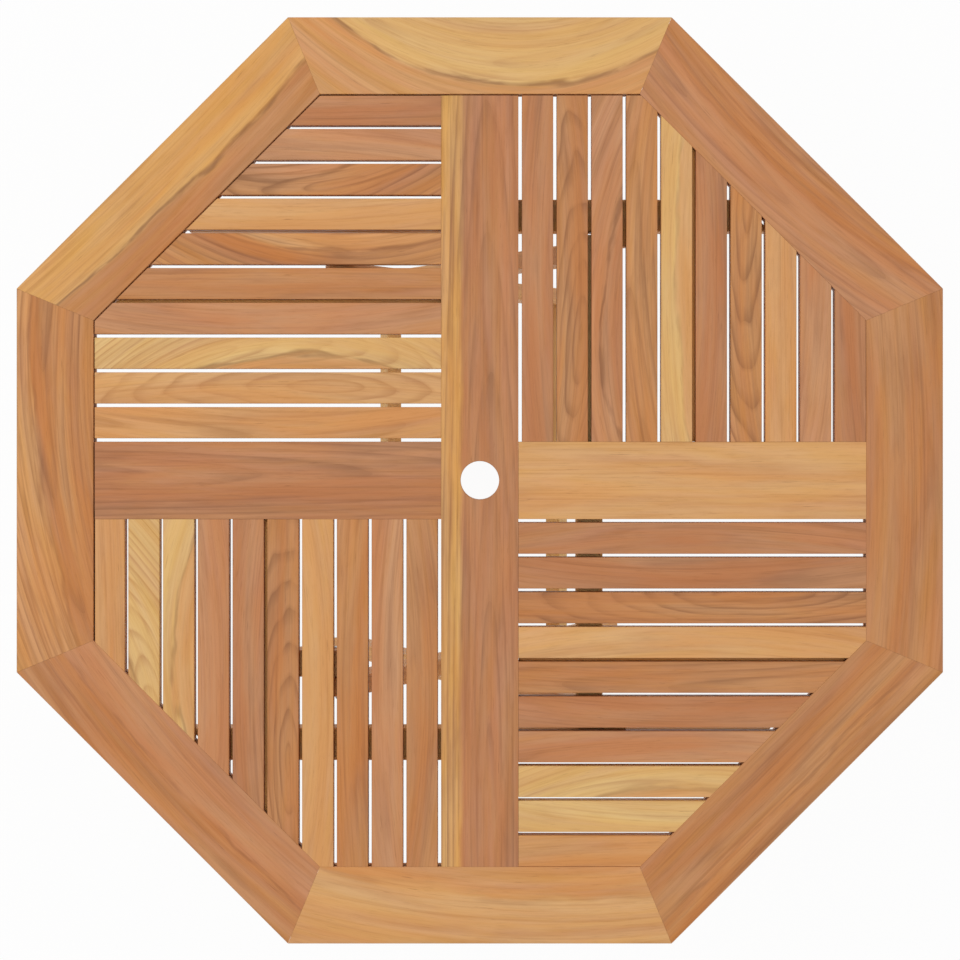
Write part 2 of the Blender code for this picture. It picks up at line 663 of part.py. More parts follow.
def make_outer_leg(name, sign, parent):
    """An outer leg: tenon in the crossbar at the top, scissor bolt in the middle, stretcher below."""
    y = sign * OUTER_LEG_Y
    bm = slab(outer_leg_outline(), y, LEG_THICKNESS, LEG_EDGE_RADIUS)
    bm = join(bm, crossbar_tenon(sign))
    bm = cut(bm, crossbar_dowel(sign, FIT))
    bm = cut(bm, bolt_hole(SCISSOR_X, SCISSOR_Z, y))
    make_object(name, cut_mortise(bm, 1, OUTER_LEG_Y, sign), TEAK_LEG, parent)


def make_crossbar(parent):
    """The bar on the outer legs' upper ends that the top rests on, between the battens."""
    end = BATTEN_FACE_Y - CROSSBAR_END_GAP
    half = CROSSBAR_WIDTH / 2
    bm = box((CROSSBAR_X - half, -end, CROSSBAR_BOTTOM), (CROSSBAR_X + half, end, CROSSBAR_TOP))
    bmesh.ops.bevel(bm, geom=long_edges(bm), offset=LEG_EDGE_RADIUS, segments=2, profile=0.5,
                    affect="EDGES", clamp_overlap=True)
    for sign in (-1, 1):
        bm = cut(bm, crossbar_tenon(sign, FIT))
        bm = join(bm, crossbar_dowel(sign))
    make_object("outer_crossbar", bm, TEAK_LEG, parent)


def pivot_bolt(name, x, z, sign, head_face, faces, nut_face):
    """A coach bolt along Y with its washers and cap nut.

    Distances run outwards from the table's middle plane: the wood's face under the head, the faces
    that the spacing washers lie on, and the wood's face under the nut.
    """
    shank = BOLT_DIAMETER / 2
    collar = WASHER_DIAMETER / 2
    nut = nut_face - FIT - WASHER_THICKNESS
    dome = CAP_DIAMETER / 2
    profile = [(0, nut - NUT_HEIGHT - CAP_HEIGHT)]
    profile += [(dome * math.cos(i * DOME_STEP),
                 nut - NUT_HEIGHT - CAP_HEIGHT * math.sin(i * DOME_STEP)) for i in (3, 2, 1, 0)]
    profile += [(dome, nut)]
    for start in [nut] + [face + FIT for face in faces] + [head_face + FIT]:
        radii = (shank, collar, collar, shank)
        heights = (start, start, start + WASHER_THICKNESS, start + WASHER_THICKNESS)
        profile += list(zip(radii, heights))[1 if start == nut else 0:]
    top = head_face + FIT + WASHER_THICKNESS
    head = BOLT_HEAD_DIAMETER / 2
    profile[-1] = (head, top)
    dome_height = BOLT_HEAD_HEIGHT - BOLT_HEAD_RIM
    profile += [(head * math.cos(i * DOME_STEP),
                 top + BOLT_HEAD_RIM + dome_height * math.sin(i * DOME_STEP)) for i in range(4)]
    profile.append((0, top + BOLT_HEAD_HEIGHT))
    corner = NUT_DIAMETER / math.sqrt(3)
    hexagon = [(corner * math.cos(i * math.pi / 3), corner * math.sin(i * math.pi / 3))
               for i in range(6)]
    bm = join(turned(profile, BOLT_SIDES), plate(hexagon, nut - NUT_HEIGHT, nut + WASHER_THICKNESS / 2))
    make_object(name, placed(bm, (x, 0, z), (0, sign, 0)), STEEL, None, 0.3, 1.0)


def make_pivots():
    """The scissor bolts and the hinge bolts, front and back."""
    outer_face = OUTER_LEG_Y + LEG_THICKNESS / 2
    joint_face = INNER_LEG_Y + LEG_THICKNESS / 2
    inner_face = INNER_LEG_Y - LEG_THICKNESS / 2
    block_faces = (BLOCK_Y + BLOCK_THICKNESS / 2, BLOCK_Y - BLOCK_THICKNESS / 2)
    for name, sign in FRONT_BACK:
        pivot_bolt("scissor_bolt_" + name, SCISSOR_X, SCISSOR_Z, sign, outer_face, [joint_face],
                   inner_face)
        pivot_bolt("hinge_bolt_" + name, HINGE_X, HINGE_Z, sign, joint_face, [block_faces[0]],
                   block_faces[1])


def make_top(hinge):
    """The octagonal top and what is fixed under it."""
    make_rails(hinge)
    make_boards(hinge)
    make_slats(hinge)
    for name, sign in FRONT_BACK:
        make_batten("batten_" + name, sign, hinge)
        make_hinge_block("hinge_block_" + name, sign, hinge)


def make_outer_frame(pivot):
    """The frame that turns on the scissor bolts."""
    for name, sign in FRONT_BACK:
        make_outer_leg("outer_leg_" + name, sign, pivot)
    make_crossbar(pivot)
    make_stretcher("outer_stretcher", 1, OUTER_LEG_Y, pivot)


def make_inner_frame():
    """The frame that stands still, with both pivots' bolts in it."""
    for name, sign in FRONT_BACK:
        make_inner_leg("inner_leg_" + name, sign, None)
    make_stretcher("inner_stretcher", -1, INNER_LEG_Y, None)
    make_pivots()


def main():
    """Build the table."""
    clear_scene()
    hinge = make_empty("top_hinge_axis", (HINGE_X, 0, HINGE_Z))
    pivot = make_empty("scissor_axis", (SCISSOR_X, 0, SCISSOR_Z))
    make_top(hinge)
    make_outer_frame(pivot)
    make_inner_frame()


main()
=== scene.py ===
"""Looks of the folding garden table: oiled teak, plated bolts and screws, studio and camera."""

import logging
import math
from collections.abc import Callable
from dataclasses import dataclass, field, replace
from enum import Enum

import bpy
from bpy.types import Material, MeshPolygon, Node, NodeSocket, NodeTree, Object
from mathutils import Matrix, Vector


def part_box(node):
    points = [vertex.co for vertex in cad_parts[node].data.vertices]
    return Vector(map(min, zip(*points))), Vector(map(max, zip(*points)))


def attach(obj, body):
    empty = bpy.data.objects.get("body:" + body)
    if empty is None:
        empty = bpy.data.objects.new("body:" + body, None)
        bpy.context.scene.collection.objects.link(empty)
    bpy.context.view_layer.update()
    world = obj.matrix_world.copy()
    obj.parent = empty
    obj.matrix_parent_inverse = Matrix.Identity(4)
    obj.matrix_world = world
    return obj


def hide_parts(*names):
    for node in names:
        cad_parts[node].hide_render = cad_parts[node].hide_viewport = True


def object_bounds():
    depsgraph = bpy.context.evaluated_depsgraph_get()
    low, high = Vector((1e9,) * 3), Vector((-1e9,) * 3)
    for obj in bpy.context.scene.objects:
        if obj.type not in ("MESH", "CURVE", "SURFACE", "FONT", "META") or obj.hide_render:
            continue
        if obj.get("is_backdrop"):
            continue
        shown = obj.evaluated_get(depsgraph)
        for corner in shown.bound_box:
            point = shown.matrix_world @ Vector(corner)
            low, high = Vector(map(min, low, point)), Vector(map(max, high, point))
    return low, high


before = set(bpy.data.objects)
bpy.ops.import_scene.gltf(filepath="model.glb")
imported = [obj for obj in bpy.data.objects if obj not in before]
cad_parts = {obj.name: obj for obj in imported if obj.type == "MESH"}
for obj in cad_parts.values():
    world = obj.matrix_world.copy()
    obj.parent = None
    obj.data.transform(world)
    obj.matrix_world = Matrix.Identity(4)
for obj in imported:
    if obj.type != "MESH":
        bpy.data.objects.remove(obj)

LOG = logging.getLogger("garden_table")
TOP_BODY = "top"
UP = Vector((0, 0, 1))
QUARTER_TURN = math.pi / 2
EIGHTH_TURN = math.pi / 4
# Faces that meet at less than this are shaded as one surface.
SMOOTH_ANGLE = math.radians(35)
# Edges sharper than this are rounded.
BEVEL_ANGLE = math.radians(30)
# Points nearer than this are taken to lie on the same plane.
TOUCH = 1e-5
# Directions whose cross product is shorter than this are taken to be parallel.
PARALLEL = 1e-3
# The mitres of the right-hand rail face this far from the right, to the back and to the front.
MITRE_HEADING = 5 * math.pi / 8
# The back, back left and left rails stand a little off the panel.
SHADOW_SIDES = (2, 3, 4)


def heading(angle: float) -> Vector:
    """Return the level direction at an angle in radians, anticlockwise from the right."""
    return Vector((math.cos(angle), math.sin(angle), 0))


def linear(hex_colour: str) -> tuple[float, float, float, float]:
    """Turn an sRGB hex colour into the linear colour that a shader takes.

    Args:
        hex_colour: a colour such as "#c18654".

    Returns:
        Red, green, blue and an alpha of 1.
    """
    channels = [int(hex_colour[i:i + 2], 16) / 255 for i in (1, 3, 5)]
    red, green, blue = (c / 12.92 if c <= 0.04045 else ((c + 0.055) / 1.055) ** 2.4 for c in channels)
    return red, green, blue, 1.0


def grey(value: float) -> tuple[float, float, float, float]:
    """Return a linear grey."""
    return value, value, value, 1.0


def set_inputs(tree: NodeTree, node: Node, inputs: dict) -> None:
    """Fill a node's inputs.

    Args:
        tree: the node tree.
        node: the node.
        inputs: socket name or number to a value, or to the output socket that feeds it.
    """
    for socket, value in inputs.items():
        if isinstance(value, NodeSocket):
            tree.links.new(value, node.inputs[socket])
        else:
            node.inputs[socket].default_value = value


def add_node(tree: NodeTree, kind: str, inputs: dict | None = None, **settings: object) -> Node:
    """Add a node, with its settings and what goes into it.

    Args:
        tree: the node tree.
        kind: the node's type name.
        inputs: what its inputs take.
        settings: the node's own properties.

    Returns:
        The new node.
    """
    node = tree.nodes.new(kind)
    for name, value in settings.items():
        setattr(node, name, value)
    set_inputs(tree, node, inputs or {})
    return node


def calculate(tree: NodeTree, operation: str, *values: NodeSocket | float) -> NodeSocket:
    """Return the result of a sum done with a new math node."""
    return add_node(tree, "ShaderNodeMath", dict(enumerate(values)), operation=operation).outputs[0]


def mix(tree: NodeTree, factor: NodeSocket, first: NodeSocket | tuple,
        second: NodeSocket | tuple) -> NodeSocket:
    """Return the mix of two colours, each a value or a socket."""
    return add_node(tree, "ShaderNodeMix", {0: factor, 6: first, 7: second}, data_type="RGBA").outputs[2]


def remap(tree: NodeTree, value: NodeSocket, ends: tuple[float, float] = (0.0, 1.0),
          results: tuple[float, float] = (0.0, 1.0), smooth: bool = False) -> NodeSocket:
    """Stretch a number from one range over another.

    Args:
        tree: the node tree.
        value: the number.
        ends: where its range begins and ends.
        results: what it becomes there.
        smooth: whether it eases in and out.

    Returns:
        The new number's socket.
    """
    return add_node(tree, "ShaderNodeMapRange", {
        "Value": value, "From Min": ends[0], "From Max": ends[1], "To Min": results[0],
        "To Max": results[1]}, interpolation_type="SMOOTHSTEP" if smooth else "LINEAR").outputs["Result"]


def ramp(tree: NodeTree, value: NodeSocket, stops: list[tuple[float, tuple]]) -> NodeSocket:
    """Turn a number into a colour.

    Args:
        tree: the node tree.
        value: the number.
        stops: places from 0 to 1, each with a linear colour.

    Returns:
        The colour's socket.
    """
    node = add_node(tree, "ShaderNodeValToRGB", {"Fac": value})
    elements = node.color_ramp.elements
    while len(elements) < len(stops):
        elements.new(1.0)
    for element, (place, colour) in zip(elements, stops):
        element.position = place
        element.color = colour
    return node.outputs["Color"]


def start_material(name: str) -> tuple[Material, NodeTree, Node]:
    """Add a material by this name, and return it with its node tree and its shader."""
    material = bpy.data.materials.new(name)
    material.use_nodes = True
    return material, material.node_tree, material.node_tree.nodes["Principled BSDF"]


class Tone(Enum):
    """The teak's tones, as light, middle and dark sRGB colours."""

    HONEY = ("#e2b876", "#d9ab6c", "#bb854d")
    GOLDEN = ("#dfa861", "#d39955", "#a86f38")
    PALE_TAN = ("#dda86d", "#d49c62", "#b67b45")
    ORANGE_TAN = ("#d99e64", "#cf9258", "#ab6f38")
    AMBER = ("#cc8e57", "#c07e47", "#8f592f")
    REDDISH = ("#cd9265", "#c28456", "#9a643f")
    BROWN = ("#c88b58", "#bd7e4b", "#8d5830")
    RED_BROWN = ("#c5885c", "#b87b4f", "#8b5936")


@dataclass(frozen=True)
class RingFigure:
    """How a board was sawn through its growth rings.

    The depth of the pith below the face and the ring spacing are in metres, the tilt of the pith and
    the waviness in radians. The squeeze shortens the pattern along the grain. The strength is how dark
    the late wood lines are drawn.
    """

    depth: float
    tilt: float
    spacing: float
    waviness: float
    squeeze: float
    strength: float


class Figure(Enum):
    """The ways of sawing: quarter sawn, flat sawn, and flat sawn from a crooked log."""

    STRAIGHT = RingFigure(0.300, 0.10, 0.0085, 3.0, 0.06, 0.32)
    FLAME = RingFigure(0.024, 0.42, 0.0080, 5.0, 0.12, 0.50)
    WILD = RingFigure(0.014, 0.80, 0.0085, 12.0, 0.24, 0.72)


@dataclass(frozen=True)
class Band:
    """A part of a board in another tone, past a wavering line that follows the grain.

    The edge is in metres from the board's middle, and the side says which side of it is banded. The
    line is how dark the border is drawn, and the waver is how far it wanders, in metres.
    """

    tone: Tone
    edge: float
    side: int = 1
    line: float = 0.45
    waver: float = 0.022


@dataclass(frozen=True)
class Look:
    """One board's tone, figure and band, and how its grain bows.

    The grain lines curve by the bow in metres across for each square metre along. The bow's centre is
    in metres along the board from its middle.
    """

    tone: Tone
    figure: Figure = Figure.STRAIGHT
    band: Band | None = None
    bow: float = 0.0
    bow_centre: float = 0.0


@dataclass(frozen=True)
class Streak:
    """Noise drawn out along the grain.

    The width and the length are in metres. Noise at the low value gives 0, and at the high value 1.
    The strength is how much of the streak's colour shows.
    """

    width: float
    length: float
    low: float
    high: float
    strength: float = 1.0


class Layer(Enum):
    """The streaks that teak's look is laid up from."""

    DRIFT = Streak(0.045, 0.500, 0.30, 0.70)
    BROAD = Streak(0.018, 0.140, 0.46, 0.80, 0.42)
    LONG = Streak(0.0065, 0.420, 0.50, 0.78, 0.45)
    FINE = Streak(0.0024, 0.160, 0.46, 0.80, 0.32)
    DASHES = Streak(0.0020, 0.034, 0.64, 0.80, 0.45)
    # Teak's pores are 0.3 mm wide. They are drawn 1.1 mm wide, to show at this distance.
    PORES = Streak(0.0011, 0.024, 0.52, 0.74, 0.16)
    HUE = Streak(0.030, 0.240, 0.30, 0.70)
    SATURATION = Streak(0.022, 0.190, 0.30, 0.70)
    # Where the growth rings show, how a band's border wanders and breaks off, and the band's patches.
    RING_SHOW = Streak(0.020, 0.180, 0.30, 0.65)
    BORDER = Streak(0.040, 0.160, 0.15, 0.85)
    BORDER_BREAKS = Streak(0.015, 0.060, 0.30, 0.60)
    PATCHES = Streak(0.012, 0.200, 0.35, 0.70)


@dataclass(frozen=True)
class OiledTeak:
    """Plantation teak, planed, sanded and lightly oiled."""

    # The oil gives the eye a warm satin that is duller in the open pores. The saw gives it the growth
    # rings, as fine lines along the grain or as flames, and the log gives it drifting tan and brown.
    name: str
    look: Look
    seed: int
    centre: Vector
    grain: Vector
    upright: Vector = field(default_factory=lambda: Vector((0, 0, 1)))

    LINE_COLOUR = "#7c4d2b"
    PORE_COLOUR = "#83542f"
    # At a scale of 1 the wave texture turns by 20 radians a metre, and one ring is a full turn.
    WAVE_TURN = 2 * math.pi / 20
    # How far each seed shifts the noise, and how far at most it shifts a board's rings, along the
    # board and across it in metres, so that no two boards are alike.
    NOISE_STEPS = (3.7, 1.3, 0.9)
    SHIFT_ALONG = 0.5
    SHIFT_ACROSS = 0.016
    # Across one ring, how dark the wood is from one late line to the next.
    RING_STOPS = ((0.0, 0.6), (0.12, 0.0), (0.60, 0.10), (0.96, 1.0))
    # A band's tone fades in, and the line along its border fades out, over these widths in metres.
    BORDER_FADE = (-0.003, 0.006)
    LINE_FADE = (0.0045, 0.0005)
    HUES = (0.496, 0.503)
    SATURATIONS = (1.04, 0.95)
    ROUGHNESSES = (0.50, 0.68)
    # The depth of a late line in metres, and of a pore as a share of it.
    RELIEF = 0.0003
    PORE_SHARE = 0.8

    def _local(self, tree: NodeTree) -> NodeSocket:
        """Return the point from the piece's centre: along the curving grain, across it and up."""
        across = self.upright.cross(self.grain).normalized()
        up = self.grain.cross(across).normalized()
        turn = Matrix((self.grain, across, up)).transposed().to_euler()
        coordinates = add_node(tree, "ShaderNodeTexCoord")
        mapping = add_node(tree, "ShaderNodeMapping", {
            "Vector": coordinates.outputs["Object"], "Location": self.centre, "Rotation": turn,
        }, vector_type="TEXTURE")
        parts = add_node(tree, "ShaderNodeSeparateXYZ", {"Vector": mapping.outputs["Vector"]}).outputs
        run = calculate(tree, "SUBTRACT", parts["X"], self.look.bow_centre)
        square = calculate(tree, "MULTIPLY", run, run)
        bowed = calculate(tree, "MULTIPLY_ADD", square, -self.look.bow, parts["Y"])
        return add_node(tree, "ShaderNodeCombineXYZ", {
            "X": parts["X"], "Y": bowed, "Z": parts["Z"]}).outputs["Vector"]

    def _streaks(self, tree: NodeTree, local: NodeSocket, layer: Layer) -> NodeSocket:
        """Draw noise out along the grain.

        Args:
            tree: the node tree.
            local: the point in the piece's own directions.
            layer: which streaks.

        Returns:
            A number from 0 to 1.
        """
        streak = layer.value
        drawn = add_node(tree, "ShaderNodeMapping", {
            "Vector": local, "Scale": (1 / streak.length, 1 / streak.width, 1 / streak.width),
            "Location": [self.seed * step for step in self.NOISE_STEPS],
        })
        noise = add_node(tree, "ShaderNodeTexNoise", {
            "Vector": drawn.outputs["Vector"], "Scale": 1.0, "Detail": 3.0, "Roughness": 0.55,
            "Distortion": 0.25,
        })
        return remap(tree, noise.outputs["Fac"], (streak.low, streak.high), smooth=True)

    def _rings(self, tree: NodeTree, local: NodeSocket) -> NodeSocket:
        """Draw the growth rings as the saw laid them open.

        Args:
            tree: the node tree.
            local: the point in the piece's own directions.

        Returns:
            0 in the early wood and 1 in each dark late line.
        """
        figure = self.look.figure.value
        squeezed = add_node(tree, "ShaderNodeMapping", {
            "Vector": local, "Scale": (figure.squeeze, 1, 1),
            "Rotation": (0, figure.tilt * (1 if self.seed % 2 else -1), 0),
            "Location": (math.sin(self.seed * 2.4) * self.SHIFT_ALONG,
                         math.sin(self.seed * 1.7) * self.SHIFT_ACROSS, -figure.depth),
        })
        rings = add_node(tree, "ShaderNodeTexWave", {
            "Vector": squeezed.outputs["Vector"], "Scale": self.WAVE_TURN / figure.spacing,
            "Distortion": figure.waviness, "Detail": 3.0, "Detail Scale": 0.28,
            "Detail Roughness": 0.6,
        }, wave_type="RINGS", rings_direction="X", wave_profile="SAW")
        late = ramp(tree, rings.outputs["Fac"], [(place, grey(dark)) for place, dark in self.RING_STOPS])
        return calculate(tree, "MULTIPLY", late, self._streaks(tree, local, Layer.RING_SHOW))

    def _with_band(self, tree: NodeTree, local: NodeSocket, base: NodeSocket) -> NodeSocket:
        """Lay the band over the base colour, with a dark broken line along its edge.

        Args:
            tree: the node tree.
            local: the point in the piece's own directions.
            base: the colour so far.

        Returns:
            The colour with the band.
        """
        band = self.look.band
        across = add_node(tree, "ShaderNodeSeparateXYZ", {"Vector": local}).outputs["Y"]
        wandering = calculate(tree, "MULTIPLY_ADD", self._streaks(tree, local, Layer.BORDER), band.waver,
                              across)
        past = calculate(tree, "SUBTRACT", wandering, band.edge + band.waver / 2)
        sided = calculate(tree, "MULTIPLY", past, band.side)
        light, middle, _ = (linear(colour) for colour in band.tone.value)
        banded = mix(tree, self._streaks(tree, local, Layer.PATCHES), middle, light)
        base = mix(tree, remap(tree, sided, self.BORDER_FADE, smooth=True), base, banded)
        line = remap(tree, calculate(tree, "ABSOLUTE", sided), self.LINE_FADE, (0.0, band.line), True)
        broken = calculate(tree, "MULTIPLY", line, self._streaks(tree, local, Layer.BORDER_BREAKS))
        return mix(tree, broken, base, linear(self.LINE_COLOUR))

    def _colour(self, tree: NodeTree, local: NodeSocket, rings: NodeSocket,
                pores: NodeSocket) -> NodeSocket:
        """Layer the colour: broad drift, streaks, late wood lines, fine grain and pores.

        Args:
            tree: the node tree.
            local: the point in the piece's own directions.
            rings: the growth rings.
            pores: the pores.

        Returns:
            The colour's socket.
        """
        light, middle, dark = (linear(colour) for colour in self.look.tone.value)
        base = mix(tree, self._streaks(tree, local, Layer.DRIFT), middle, light)
        if self.look.band is not None:
            base = self._with_band(tree, local, base)
        layers = [(self._streaks(tree, local, layer), layer.value.strength, dark)
                  for layer in (Layer.BROAD, Layer.LONG, Layer.FINE)]
        layers.append((rings, self.look.figure.value.strength, dark))
        layers.append((self._streaks(tree, local, Layer.DASHES), Layer.DASHES.value.strength,
                       linear(self.LINE_COLOUR)))
        layers.append((pores, Layer.PORES.value.strength, linear(self.PORE_COLOUR)))
        for share, strength, colour in layers:
            base = mix(tree, calculate(tree, "MULTIPLY", share, strength), base, colour)
        hue = remap(tree, self._streaks(tree, local, Layer.HUE), results=self.HUES)
        saturation = remap(tree, self._streaks(tree, local, Layer.SATURATION), results=self.SATURATIONS)
        return add_node(tree, "ShaderNodeHueSaturation", {
            "Hue": hue, "Saturation": saturation, "Color": base}).outputs["Color"]

    def material(self) -> Material:
        """Return a new teak material for one piece."""
        material, tree, shader = start_material(self.name)
        local = self._local(tree)
        rings = self._rings(tree, local)
        pores = self._streaks(tree, local, Layer.PORES)
        height = calculate(tree, "MULTIPLY_ADD", pores, self.PORE_SHARE, rings)
        bump = add_node(tree, "ShaderNodeBump", {
            "Height": height, "Strength": 0.30, "Distance": self.RELIEF}, invert=True)
        set_inputs(tree, shader, {
            "Base Color": self._colour(tree, local, rings, pores),
            "Roughness": remap(tree, pores, results=self.ROUGHNESSES),
            "Normal": bump.outputs["Normal"], "IOR": 1.45, "Specular IOR Level": 0.35,
        })
        return material


@dataclass(frozen=True)
class ZincPlatedSteel:
    """Zinc-plated steel, barrel plated."""

    # The plating gives the eye a bright blue-grey satin with cloudy patches, and tumbling in the
    # barrel leaves fine scuffs.
    name: str
    light: str = "#c9cccd"
    dark: str = "#8f9496"
    cloud_size: float = 0.004
    scuff_width: float = 0.0004
    scuff_depth: float = 0.0001

    def material(self) -> Material:
        """Return a new material for bolts or screws."""
        material, tree, shader = start_material(self.name)
        point = add_node(tree, "ShaderNodeTexCoord").outputs["Object"]
        clouds, scuffs = (add_node(tree, "ShaderNodeTexNoise", {
            "Vector": point, "Scale": 1 / size, "Detail": detail}).outputs["Fac"]
            for size, detail in ((self.cloud_size, 4.0), (self.scuff_width, 2.0)))
        bump = add_node(tree, "ShaderNodeBump", {
            "Height": scuffs, "Strength": 0.15, "Distance": self.scuff_depth})
        set_inputs(tree, shader, {
            "Base Color": ramp(tree, clouds, [(0.32, linear(self.dark)), (0.68, linear(self.light))]),
            "Roughness": remap(tree, scuffs, results=(0.28, 0.52)),
            "Normal": bump.outputs["Normal"], "Metallic": 1.0,
        })
        return material


def deselect_all() -> None:
    """Leave nothing selected, in object mode."""
    if bpy.context.object and bpy.context.object.mode != "OBJECT":
        bpy.ops.object.mode_set(mode="OBJECT")
    bpy.ops.object.select_all(action="DESELECT")


def activate(piece: Object) -> None:
    """Leave this piece alone selected, and active, in object mode."""
    deselect_all()
    piece.select_set(True)
    bpy.context.view_layer.objects.active = piece


def start_block(name: str, low: Vector, high: Vector) -> Object:
    """Add a block between two corners, with its place and size in its mesh.

    Args:
        name: the piece's name.
        low: the lowest corner.
        high: the highest corner.

    Returns:
        The new piece, selected and active, in object mode.
    """
    deselect_all()
    bpy.ops.mesh.primitive_cube_add(size=1, location=(low + high) / 2)
    piece = bpy.context.object
    piece.name = name
    piece.data.name = name
    piece.scale = high - low
    bpy.ops.object.transform_apply(location=True, rotation=True, scale=True)
    return piece


def score(point: Vector, normal: Vector, **clearing: bool) -> None:
    """Divide the active piece's faces along a plane.

    Args:
        point: a point on the plane.
        normal: the plane's direction.
        clearing: whether a side is cleared and the cut filled.
    """
    bpy.ops.object.mode_set(mode="EDIT")
    bpy.ops.mesh.select_all(action="SELECT")
    bpy.ops.mesh.bisect(plane_co=point, plane_no=normal, **clearing)
    bpy.ops.object.mode_set(mode="OBJECT")


def cut_away(point: Vector, normal: Vector) -> None:
    """Saw off what lies past a plane, the way its normal points, and close the cut."""
    score(point, normal, use_fill=True, clear_outer=True)


def apply_modifier(piece: Object, kind: str, **settings: object) -> None:
    """Add a modifier, set it and apply it.

    Args:
        piece: the piece that it shapes.
        kind: the modifier's type name.
        settings: the modifier's own properties.
    """
    modifier = piece.modifiers.new(kind.lower(), kind)
    for name, value in settings.items():
        setattr(modifier, name, value)
    bpy.context.view_layer.objects.active = piece
    bpy.ops.object.modifier_apply(modifier=modifier.name)


def subtract(piece: Object, cutter: Object) -> None:
    """Cut one shape out of a piece and throw the cutter away.

    Args:
        piece: the piece, which is active afterwards.
        cutter: the shape to cut out.
    """
    apply_modifier(piece, "BOOLEAN", operation="DIFFERENCE", solver="EXACT", object=cutter)
    bpy.data.objects.remove(cutter, do_unlink=True)
    activate(piece)


def pick(piece: Object, kind: str, wanted: Callable[[object], bool]) -> None:
    """Select the edges or the faces that a test picks, and stay in edit mode.

    Args:
        piece: the active piece.
        kind: EDGE or FACE.
        wanted: says of an edge or a polygon whether it is picked.
    """
    bpy.ops.object.mode_set(mode="EDIT")
    bpy.ops.mesh.select_all(action="DESELECT")
    bpy.ops.mesh.select_mode(type=kind)
    bpy.ops.object.mode_set(mode="OBJECT")
    for part in piece.data.edges if kind == "EDGE" else piece.data.polygons:
        part.select = bool(wanted(part))
    bpy.ops.object.mode_set(mode="EDIT")


def round_edges(piece: Object, radius: float, segments: int) -> None:
    """Round every sharp edge."""
    apply_modifier(piece, "BEVEL", width=radius, segments=segments, limit_method="ANGLE",
                   angle_limit=BEVEL_ANGLE, miter_outer="MITER_ARC")


def round_picked_edges(piece: Object, wanted: Callable[[Vector, Vector], bool], radius: float,
                       segments: int = 3) -> None:
    """Round the edges that a test picks.

    Args:
        piece: the active piece.
        wanted: says of an edge's two ends whether it is rounded.
        radius: the radius.
        segments: how many flats make up the curve.
    """
    pick(piece, "EDGE", lambda edge: wanted(*(piece.data.vertices[index].co for index in edge.vertices)))
    bpy.ops.mesh.bevel(offset=radius, segments=segments, affect="EDGES")
    bpy.ops.object.mode_set(mode="OBJECT")


def along(grain: Vector) -> Callable[[Vector, Vector], bool]:
    """Return the test that picks the edges along a piece."""
    return lambda first, second: (second - first).normalized().cross(grain).length < PARALLEL


def push_faces(piece: Object, wanted: Callable[[MeshPolygon], bool], move: Vector,
               shoulder: float = 0.0) -> None:
    """Extrude the faces that a test picks.

    Args:
        piece: the active piece.
        wanted: says of a polygon whether it is extruded.
        move: how far the faces travel.
        shoulder: how far the faces are drawn in from their edges first.
    """
    pick(piece, "FACE", wanted)
    if shoulder:
        bpy.ops.mesh.inset(thickness=shoulder)
    bpy.ops.mesh.extrude_region_move(TRANSFORM_OT_translate={"value": move})
    bpy.ops.object.mode_set(mode="OBJECT")


def turn_about_middle(piece: Object, angle: float) -> None:
    """Turn a piece about the table's upright axis and keep the turn in its mesh.

    Args:
        piece: the piece.
        angle: the turn in radians, anticlockwise from above.
    """
    activate(piece)
    piece.rotation_euler.z = angle
    bpy.ops.object.transform_apply(location=False, rotation=True, scale=False)


class Field(Enum):
    """The four fields of slats, as the quarter turns from the back left one."""

    BACK_LEFT = 0
    FRONT_LEFT = 1
    FRONT_RIGHT = 2
    BACK_RIGHT = 3


